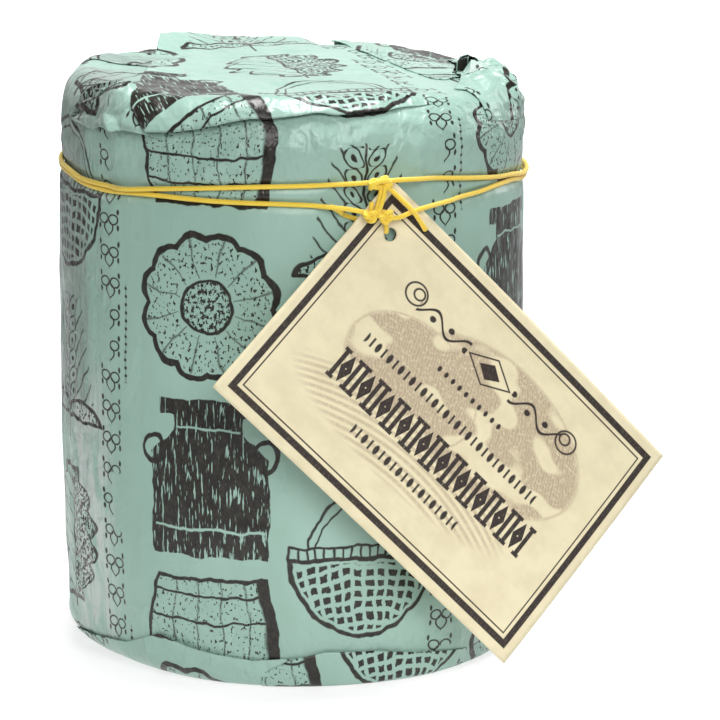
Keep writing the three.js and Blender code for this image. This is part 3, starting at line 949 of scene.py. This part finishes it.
def new_material(name):
    material = bpy.data.materials.new(name)
    material.use_nodes = True
    material.node_tree.nodes.clear()
    return material, material.node_tree


def shade(tree, looks):
    """The material's one shader, with its inputs given by name."""
    make_node(tree, "OutputMaterial", {"Surface": make_node(tree, "BsdfPrincipled", looks)["BSDF"]})


def srgb(red, green, blue):
    """A colour as seen, from 0 to 255, turned into the light that Blender mixes."""
    shares = (value / 255 for value in (red, green, blue))
    light = (share / 12.92 if share <= 0.04045 else ((share + 0.055) / 1.055) ** 2.4 for share in shares)
    return (*light, 1)


paper_green = srgb(150, 181, 169)
paper_green_deep = srgb(143, 174, 161)
paper_hatch = srgb(122, 121, 121)
# Pale grey of the painted sheen streaks on the lower left side
painted_sheen_grey = srgb(190, 198, 194)
ink_dark = srgb(30, 27, 23)
ink_worn = srgb(50, 46, 41)
cord_yellow = srgb(245, 215, 68)
# Darker amber for the braid's grooves: painted shade between the threads
cord_groove_shade = srgb(216, 172, 34)
card_cream = srgb(224, 214, 180)
card_tan = srgb(216, 205, 171)
card_ink = srgb(52, 44, 42)
card_shadow_ink = srgb(176, 159, 134)
crumple_strength = 0.8


# The paper's print: six plain drawings in a staggered grid, beside a strip of ornament

strip_place = -54.6
tile_width = girth_length / 4
column_places = (32 - girth_length / 8, 74 - girth_length / 8)
row_height = 46
tile_height = 3 * row_height


def churn(x, y, scratches):
    """A milk churn in solid ink, with scratched lights and two pale hoops."""
    half = 16.5 - y.ramp(6, 12.5) * 7 + y.ramp(16.6, 17) * 4
    body = slab(x, y, half, 21)
    ears = stroke(ellipse(abs(x) - 16, y - 7, 3.2, 3.8), 1.2)
    hoops = both(stroke(y + 13.5, 0.7), within(x, 15.4, 0.2))
    neck = both(stroke(y - 13.4, 0.6), within(x, 8.8, 0.2))
    return either(both(fill(body), either(hoops, neck, scratches).ramp(1, 0)), ears)


def basket(x, y, coarse):
    """A trug: a bowl of dark checks under a rim band, with an arched handle."""
    bowl = either(ellipse(x, y - 2, 20, 21), y - 2)
    lean = x / (y * 0.012 + 1.0)
    across = lean.share_of(3.3) - 0.5
    up = (y + lean * lean * 0.009).share_of(3.1) - 0.5
    check = either(abs(across), abs(up) * 1.05) - coarse * 0.22
    checks = both(fill(bowl + 1.4), check.ramp(0.35, 0.29))
    rim = stroke(slab(x, y - 3.6, 20.2, 1.7), 0.7)
    ties = both(fill(slab(x, y - 3.6, 19.8, 1.6)), stroke(x.share_of(2.4) - 0.5, 0.26, 0.06))
    arch = ellipse(x, y - 4, 15, 16)
    handle = both(either(stroke(arch, 0.7), stroke(arch + 2, 0.5)), (y - 5).ramp(-0.1, 0.1))
    return either(checks, rim, stroke(bowl, 1.2), ties, handle)


def daisy(x, y, specks):
    """A round flower head: a bold scalloped edge and rays round a stippled middle."""
    away = (x * x + y * y).math("SQRT")
    turn = y.math("ARCTAN2", x)
    edge = away - abs((turn * 6).math("SINE")) * 1.8 - 17.6
    spokes = stroke((turn * (6 / math.pi)).math("FRACT") - 0.5, 0.05, 0.035)
    rays = both(spokes, specks.ramp(0.66, 0.54), fill(edge), away.ramp(7.9, 8.1))
    middle = away - 7
    stipple = both(fill(middle), specks.ramp(0.5, 0.54))
    blots = both(fill(edge + 1.5), away.ramp(8.9, 9.1), specks.ramp(0.6, 0.63))
    return either(stroke(edge, 1.8), stroke(middle, 0.9), rays, stipple, blots)


def barrel(x, y, specks):
    """A cask in outline, with hoops, staves and a heavy shaded side."""
    half = 18.5 - y * y * 0.0085
    body = slab(x, y, half, 19)
    staves = both(stroke((x / half * 2.5).math("FRACT") - 0.5, 0.06, 0.03), specks.ramp(0.62, 0.5))
    hoop_line = abs(y - x * x * 0.004)
    shade = (x - half).ramp(-3.4, -2.6)
    grain = specks.ramp(0.63, 0.66)
    drawn = either(stroke(hoop_line - 7, 0.7), stroke(hoop_line - 14, 0.7), staves, shade, grain)
    return either(stroke(body, 1.1), both(fill(body), drawn))


def wheat(x, y, specks):
    """An ear of wheat: paired grains on a stalk, with bristles and two blades."""
    step = y.in_step(4.6)
    grain = ellipse(abs(x) - 3.2 - step * 0.4, step, 2.2, 2.5)
    span = within(y - 5, 14)
    grains = both(either(stroke(grain, 0.5), fill(grain + 1.5)), span)
    bristle = stroke((abs(x) * 0.55 - y * 0.4).share_of(2.6) - 0.5, 0.14, 0.05)
    bristles = both(bristle, span, abs(x).ramp(5.2, 5.4), (abs(x) + y * 0.25).ramp(13.2, 13))
    blade = either(ellipse(abs(x) - 9, y + 14, 9.5, 5), (y + 14) * -1)
    spotted = both(fill(blade), specks.ramp(0.55, 0.59))
    return either(both(stroke(x, 0.8), within(y, 20)), grains, bristles, stroke(blade, 1), spotted)


def oak_leaf(x, y, specks):
    """A lobed leaf with a midrib and side veins."""
    half = 12.5 - y * y * 0.03 + abs((y * 0.42).math("SINE")) * 3.6
    body = slab(x, y, half, 18)
    rib = both(stroke(x, 0.9), within(y + 2, 19))
    veins = stroke((y - abs(x) * 0.7).share_of(5.2) - 0.5, 0.1, 0.04)
    shade = both(x.ramp(0, 0.2), specks.ramp(0.5, 0.54))
    return either(stroke(body, 1.3), rib, both(fill(body), either(veins, shade)))


def ornament_strip(x, y):
    """A curling vine beside a row of fine ticks, with gaps between its lengths."""
    vine = stroke(x - (y * (2 * math.pi / 8.4)).math("SINE") * 1.7, 0.6, 0.1)
    curl = stroke(ellipse(x - 1.9, y.in_step(8.4), 1.7, 1.3), 0.45)
    far_curl = stroke(ellipse(x + 1.9, (y + 4.2).in_step(8.4), 1.7, 1.3), 0.45)
    drops = fill(ellipse(abs(x) - 3.6, y.in_step(4.2), 0.45, 0.8))
    tick = either(stroke(x - 6.2, 0.9, 0.1) * stroke(y.in_step(2.1), 0.8), stroke(x - 6.2, 0.3) * 0.6)
    length = y.wrap(row_height)
    return either(both(either(vine, curl, far_curl, drops), within(length, 38, 0.3)),
                  both(tick, within(length, 13, 0.3)))


def paper_ink(canvas):
    """All the print's ink from 0 to 1, with hand-drawn wobble."""
    wobble_x = (canvas.noise(7, 7, 2) - 0.5) * 2.4
    wobble_y = (canvas.noise(6, 9, 2, aside=71) - 0.5) * 2.4
    specks = canvas.noise(0.9, 1.3, 2, 0.6)
    scratches = canvas.noise(0.7, 5.5, 2, 0.6).ramp(0.60, 0.66)
    from_strip = canvas.x - strip_place
    tile = (from_strip / tile_width).math("FLOOR")
    x = from_strip.in_step(tile_width) + wobble_x
    y = canvas.y + wobble_y - tile * row_height
    left, right = x - column_places[0], x - column_places[1]
    drawings = [
        (churn, left, 56, scratches), (daisy, left, 102, specks), (barrel, left, 10, specks),
        (basket, right, 33, specks - 0.5), (wheat, right, 125, specks), (oak_leaf, right, 79, specks),
    ]
    drawn = [draw(place_x, (y - row).wrap(tile_height / 2), grain) for draw, place_x, row, grain in drawings]
    strip_x = (from_strip + wobble_x * 0.3).wrap(tile_width / 2)
    return either(*drawn, ornament_strip(strip_x, canvas.y + wobble_y * 0.3 - tile * row_height))


def crumple_bump(canvas):
    """Sharp fine creases, strongest at the rim, at the foot and down the left side."""
    tree = canvas.tree
    bent_x = canvas.x + (canvas.noise(5, 5, 2) - 0.5) * 7
    bent_y = canvas.y + (canvas.noise(6, 6, 2, aside=37) - 0.5) * 7
    at_rim = both(canvas.y.ramp(126, 142), canvas.y.ramp(182, 164))
    at_foot = canvas.y.ramp(30, 10)
    at_left = abs(canvas.x + 80).ramp(34, 14) * 1.3
    patches = canvas.noise(19, 24, 2).ramp(0.4, 0.66)
    cones = []
    for cell_x, cell_y in ((6.5, 9.5), (2.6, 4.4)):
        inputs = {"Vector": join(tree, bent_x / cell_x, bent_y / cell_y), "Scale": 1}
        cells = make_node(tree, "TexVoronoi", inputs, voronoi_dimensions="2D", feature="F1")
        cones.append(Value(tree, cells["Distance"]) * cell_x)
    amount = either(at_rim, at_foot, at_left, patches * 0.4)
    creased = bump(tree, (cones[0] + cones[1]) * amount, crumple_strength, 0.11)
    flutes = canvas.noise(1.6, 17, 3, 0.55) * (at_left * 1.6 + 1)
    return bump(tree, flutes, 0.35, 0.25, Normal=creased)


def left_hatching_and_sheen(canvas):
    """Grey hatching on the upper left side, and pale streaks of painted sheen along the creases below."""
    streaks = canvas.noise(1.3, 15, 3, 0.6)
    hatched = both(abs(canvas.x + 82).ramp(18, 13), canvas.y.ramp(58, 70), canvas.y.ramp(178, 162))
    # Painted sheen: a patch of pale streaks low on the left side, standing in for gloss that catches the
    # light
    sheen_streaks = both(abs(canvas.x + 66).ramp(14, 6), canvas.y.ramp(84, 66), canvas.y.ramp(4, 10))
    patches = canvas.noise(6, 14, 2).ramp(0.34, 0.52)
    return hatched * (streaks.ramp(0.35, 0.6) * 0.6 + 0.25), sheen_streaks * patches * streaks.ramp(0.3, 0.5)


def paper_material():
    material, tree = new_material("glossy_printed_paper")
    canvas = Canvas(tree)
    fibre = canvas.noise(0.5, 0.5, 3, 0.65)
    worn = canvas.noise(1.6, 2.4, 3, 0.6)
    hatched, sheen_streaks = left_hatching_and_sheen(canvas)
    ground = mix_colours(tree, canvas.noise(26, 34, 3).ramp(0.35, 0.68), paper_green, paper_green_deep)
    ground = mix_colours(tree, hatched * 0.75, ground, paper_hatch)
    # Painted sheen laid into the ground colour on the lower left
    ground = mix_colours(tree, sheen_streaks * 0.85, ground, painted_sheen_grey)
    printed = mix_colours(tree, worn.ramp(0.42, 0.72), ink_dark, ink_worn)
    strength = paper_ink(canvas) * (fibre.ramp(0.2, 0.42) * 0.08 + 0.92)
    shade(tree, {
        "Base Color": mix_colours(tree, strength, ground, printed),
        "Roughness": canvas.noise(5, 22, 3, 0.55).ramp(0.2, 0.8) * 0.12 + 0.26,
        "Normal": bump(tree, fibre, 0.12, 0.05, Normal=crumple_bump(canvas)),
        "Specular IOR Level": 0.36, "Coat Weight": 0.04, "Coat Roughness": 0.16,
    })
    return material


def cord_material():
    material, tree = new_material("braided_elastic")
    canvas = Canvas(tree)
    turn = canvas.y * (2 * math.pi / braid_chart_width) * braid_strands
    run = canvas.x * (2 * math.pi / braid_pitch) * 2
    threads = either((turn + run).math("COSINE"), (turn - run).math("COSINE"))
    fuzz = canvas.noise(0.3, 0.8, 3, 0.6)
    # The amber between the threads is painted shade in the braid's grooves, mixed at random by the fuzz
    share = both(threads.ramp(0.9, 0.1), fuzz.ramp(0.2, 0.8) * 0.6 + 0.4)
    shade(tree, {
        "Base Color": mix_colours(tree, share, cord_yellow, cord_groove_shade), "Roughness": fuzz * 0.2 + 0.42,
        "Normal": bump(tree, fuzz, 0.3, 0.05, Normal=bump(tree, threads, 0.4, 0.08)),
        "Sheen Weight": 0.25, "Sheen Roughness": 0.5,
    })
    return material


def tag_ink(canvas):
    """The tag's print: a bold frame with a fine inner line, and plain ornaments."""
    x = canvas.x - tag_length / 2
    y = canvas.y - tag_width / 2
    frame_line = stroke(slab(x, y, tag_length / 2 - 3.65, tag_width / 2 - 3.65), 1.85, 0.1)
    inner_line = stroke(slab(x, y, tag_length / 2 - 5.75, tag_width / 2 - 5.75), 0.4, 0.08)
    band_x, band_y = x - 2, y + 8.6
    step = band_x.in_step(7.5)
    bars = fill(slab(abs(step) - 2.6, band_y, 0.65, 4.6), 0.1)
    lozenge = fill(abs(step) * 2.3 + abs(band_y) - 4.2, 0.1)
    rungs = fill(slab(abs(step) - 2.6, abs(band_y) - 4.1, 1.15, 0.5), 0.1)
    slit = stroke(abs(step) + abs(band_y), 0.5)
    band = both(either(rungs, bars, lozenge), slit.ramp(1, 0), within(band_x, 37.5))
    bead_y, bead_step = abs(band_y) - 9.9, x.in_step(4.4)
    bead = fill(ellipse(bead_step, bead_y, 0.75, 1.4))
    spacer = fill(slab(abs(bead_step) - 2.2, bead_y, 0.32, 1.4))
    bead_rows = both(either(bead, spacer), fill(abs(x) - 33.1 + band_y.ramp(0.1, -0.1) * 13.2))
    crest = y - 17.5
    star = either(fill(abs(x) * 0.6 + abs(crest) - 2.4), stroke(abs(x) * 0.5 + abs(crest) - 4, 0.5))
    swing = (x * 0.5).math("SINE")
    wave = stroke(crest - swing * 1.9, 0.8)
    leaves = fill(ellipse(x.in_step(6.28), crest + swing * 0.6, 1.0, 0.8))
    sprigs = both(either(wave, leaves), abs(x).ramp(8.8, 9), within(x, 27.5))
    curl = stroke(ellipse(abs(x) - 30, crest - 1.2, 3.4, 2.8), 0.5)
    inner_curl = stroke(ellipse(abs(x) - 29.2, crest - 1.6, 1.7, 1.4), 0.5)
    small_row = both(fill(ellipse(x.in_step(2.6), y - 8.8, 0.6, 0.8)), within(x, 13.1))
    return either(frame_line, band, inner_line, curl, inner_curl, bead_rows, star, sprigs, small_row)


def tag_watermark(canvas):
    """A pale drawing behind the ornaments: dappled hills with rows of a field below them."""
    x = canvas.x - tag_length * 0.51
    y = canvas.y - tag_width * 0.56
    far_hill = ellipse(x - 9, y - 3, 32, 17)
    near_hill = ellipse(x + 17, y + 3, 22, 14)
    dapple = canvas.noise(15, 10, 1, 0.5).ramp(0.42, 0.48)
    hatch = (x * 0.9 + y * 0.5 + canvas.noise(4, 4) * 2).share_of(0.9).ramp(0.2, 0.6) * 0.3 + 0.7
    hills = both(either(fill(far_hill, 0.6), fill(near_hill, 0.6)), dapple) * hatch
    rims = either(stroke(far_hill, 0.5), stroke(near_hill, 0.5)) * 0.5
    rows = (y + x * x * 0.006).share_of(1.9).ramp(0.4, 0.6)
    return either(hills, rims, both(fill(ellipse(x + 6, y + 19, 38, 8), 0.8), rows) * 0.6)


def tag_material():
    material, tree = new_material("printed_card")
    canvas = Canvas(tree)
    fibre = canvas.noise(0.45, 1.4, 3, 0.6)
    ground = mix_colours(tree, canvas.noise(9, 7, 4, 0.6).ramp(0.36, 0.66), card_cream, card_tan)
    pale = tag_watermark(canvas) * (canvas.noise(1.2, 0.8, 3, 0.65).ramp(0.3, 0.5) * 0.6 + 0.4)
    shaded = mix_colours(tree, pale, ground, card_shadow_ink)
    ink = tag_ink(canvas) * (fibre.ramp(0.15, 0.5) * 0.1 + 0.9)
    shade(tree, {
        "Base Color": mix_colours(tree, ink, shaded, card_ink), "Roughness": fibre * 0.15 + 0.55,
        "Normal": bump(tree, fibre, 0.15, 0.06), "Specular IOR Level": 0.3,
    })
    return material


def floor_material():
    """White near the object and behind it, where it glows like a lit backdrop; grey farther out."""
    material, tree = new_material("pale_floor")
    x, y = split(tree, make_node(tree, "TexCoord", {})["Object"])
    near = (x * x + y * y).math("SQRT").ramp(0.26, 0.13)
    path = abs(x) / (y + 1.4).math("MAXIMUM", 0.3)
    backdrop = both(path.ramp(0.125, 0.09), y.ramp(-0.34, -0.2))
    white = either(near, backdrop)
    shade(tree, {
        "Base Color": mix_colours(tree, white, (0.4, 0.4, 0.4, 1), (0.36, 0.36, 0.36, 1)),
        "Emission Strength": white * 0.72 + both(backdrop, y.ramp(0.2, 1.4)) * 0.75,
        "Emission Color": (1, 1, 1, 1), "Roughness": 0.9, "Specular IOR Level": 0.1,
    })
    return material


# Stage, light and camera

def make_floor():
    half = 4000
    corners = [(-half, -half, 0), (half, -half, 0), (half, half, 0), (-half, half, 0)]
    floor = make_mesh("floor", corners, [[0, 1, 2, 3]])
    floor.location.z = -0.02 * MM
    floor.data.materials.append(floor_material())


def add_light(name, position, target, width, height, power):
    light = bpy.data.lights.new(name, "AREA")
    light.shape = "RECTANGLE"
    light.size = width * MM
    light.size_y = height * MM
    light.energy = power
    obj = bpy.data.objects.new(name, light)
    obj.location = Vector(position) * MM
    obj.rotation_mode = "QUATERNION"
    aim = (Vector(target) - Vector(position)).normalized()
    obj.rotation_quaternion = aim.to_track_quat("-Z", "Y")
    bpy.context.scene.collection.objects.link(obj)


def make_lights():
    middle = (0, 0, 80)
    add_light("overhead", (100, 160, 1300), (0, 0, 120), 600, 500, 22)
    add_light("front", (290, -1450, 950), middle, 1100, 900, 22)
    add_light("left", (-1440, 414, 520), middle, 160, 500, 3)
    add_light("right", (1260, 900, 480), middle, 300, 700, 5)
    add_light("backdrop", (0, 3000, 700), (0, 0, 300), 5000, 1700, 21)
    world = bpy.data.worlds.new("studio")
    world.use_nodes = True
    background = world.node_tree.nodes["Background"]
    background.inputs["Color"].default_value = (1, 1, 1, 1)
    background.inputs["Strength"].default_value = 0.11
    bpy.context.scene.world = world


def make_camera():
    camera = bpy.data.cameras.new("camera")
    camera.sensor_width = sensor_width
    camera.lens = camera_focal_pixels * sensor_width / image_pixels
    camera.clip_end = 100
    obj = bpy.data.objects.new("camera", camera)
    obj.location = (0, -camera_distance * MM, camera_height * MM)
    obj.rotation_euler = (math.radians(90 - camera_pitch), 0, math.radians(-camera_yaw))
    bpy.context.scene.collection.objects.link(obj)
    bpy.context.scene.camera = obj


def finish_piece(piece, material, slot, *nodes):
    piece.data.materials.clear()
    piece.data.materials.append(material)
    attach(piece, BODY)
    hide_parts(*nodes)


make_camera()
make_lights()
make_floor()
bpy.context.scene.view_settings.view_transform = "Standard"

paper = paper_material()
sheets = [
    make_drum_paper(), make_closing_sheet(), make_left_pleat(), make_right_pleat(), make_ear_pocket(),
    # The ear hollow's small sheet is dark from the churn's solid ink shifted onto it: print and painted shade
    top_patch("paper_ear_hollow", ear_hollow_foot, ear_hollow_head, 12, 16, 0, ear_hollow_shade_ink_shift),
    top_patch("paper_ear_face", ear_face_foot, ear_face_head, 30, 48, 0.5, ear_face_shift),
    make_back_pleat(), make_back_flap(), make_foot_lap(),
    make_foot_fold("paper_foot_fold", fold_top, foot_fold_shift),
    make_foot_fold("paper_back_foot_fold", back_fold_top, back_foot_fold_shift),
]
for sheet in sheets:
    finish_piece(sheet, paper, "wrap_paper", "paper_wrap")
elastic = cord_material()
for run in make_cord():
    finish_piece(run, elastic, "cord_elastic", "elastic_cord")
finish_piece(make_tag(), tag_material(), "tag_card", "swing_tag")
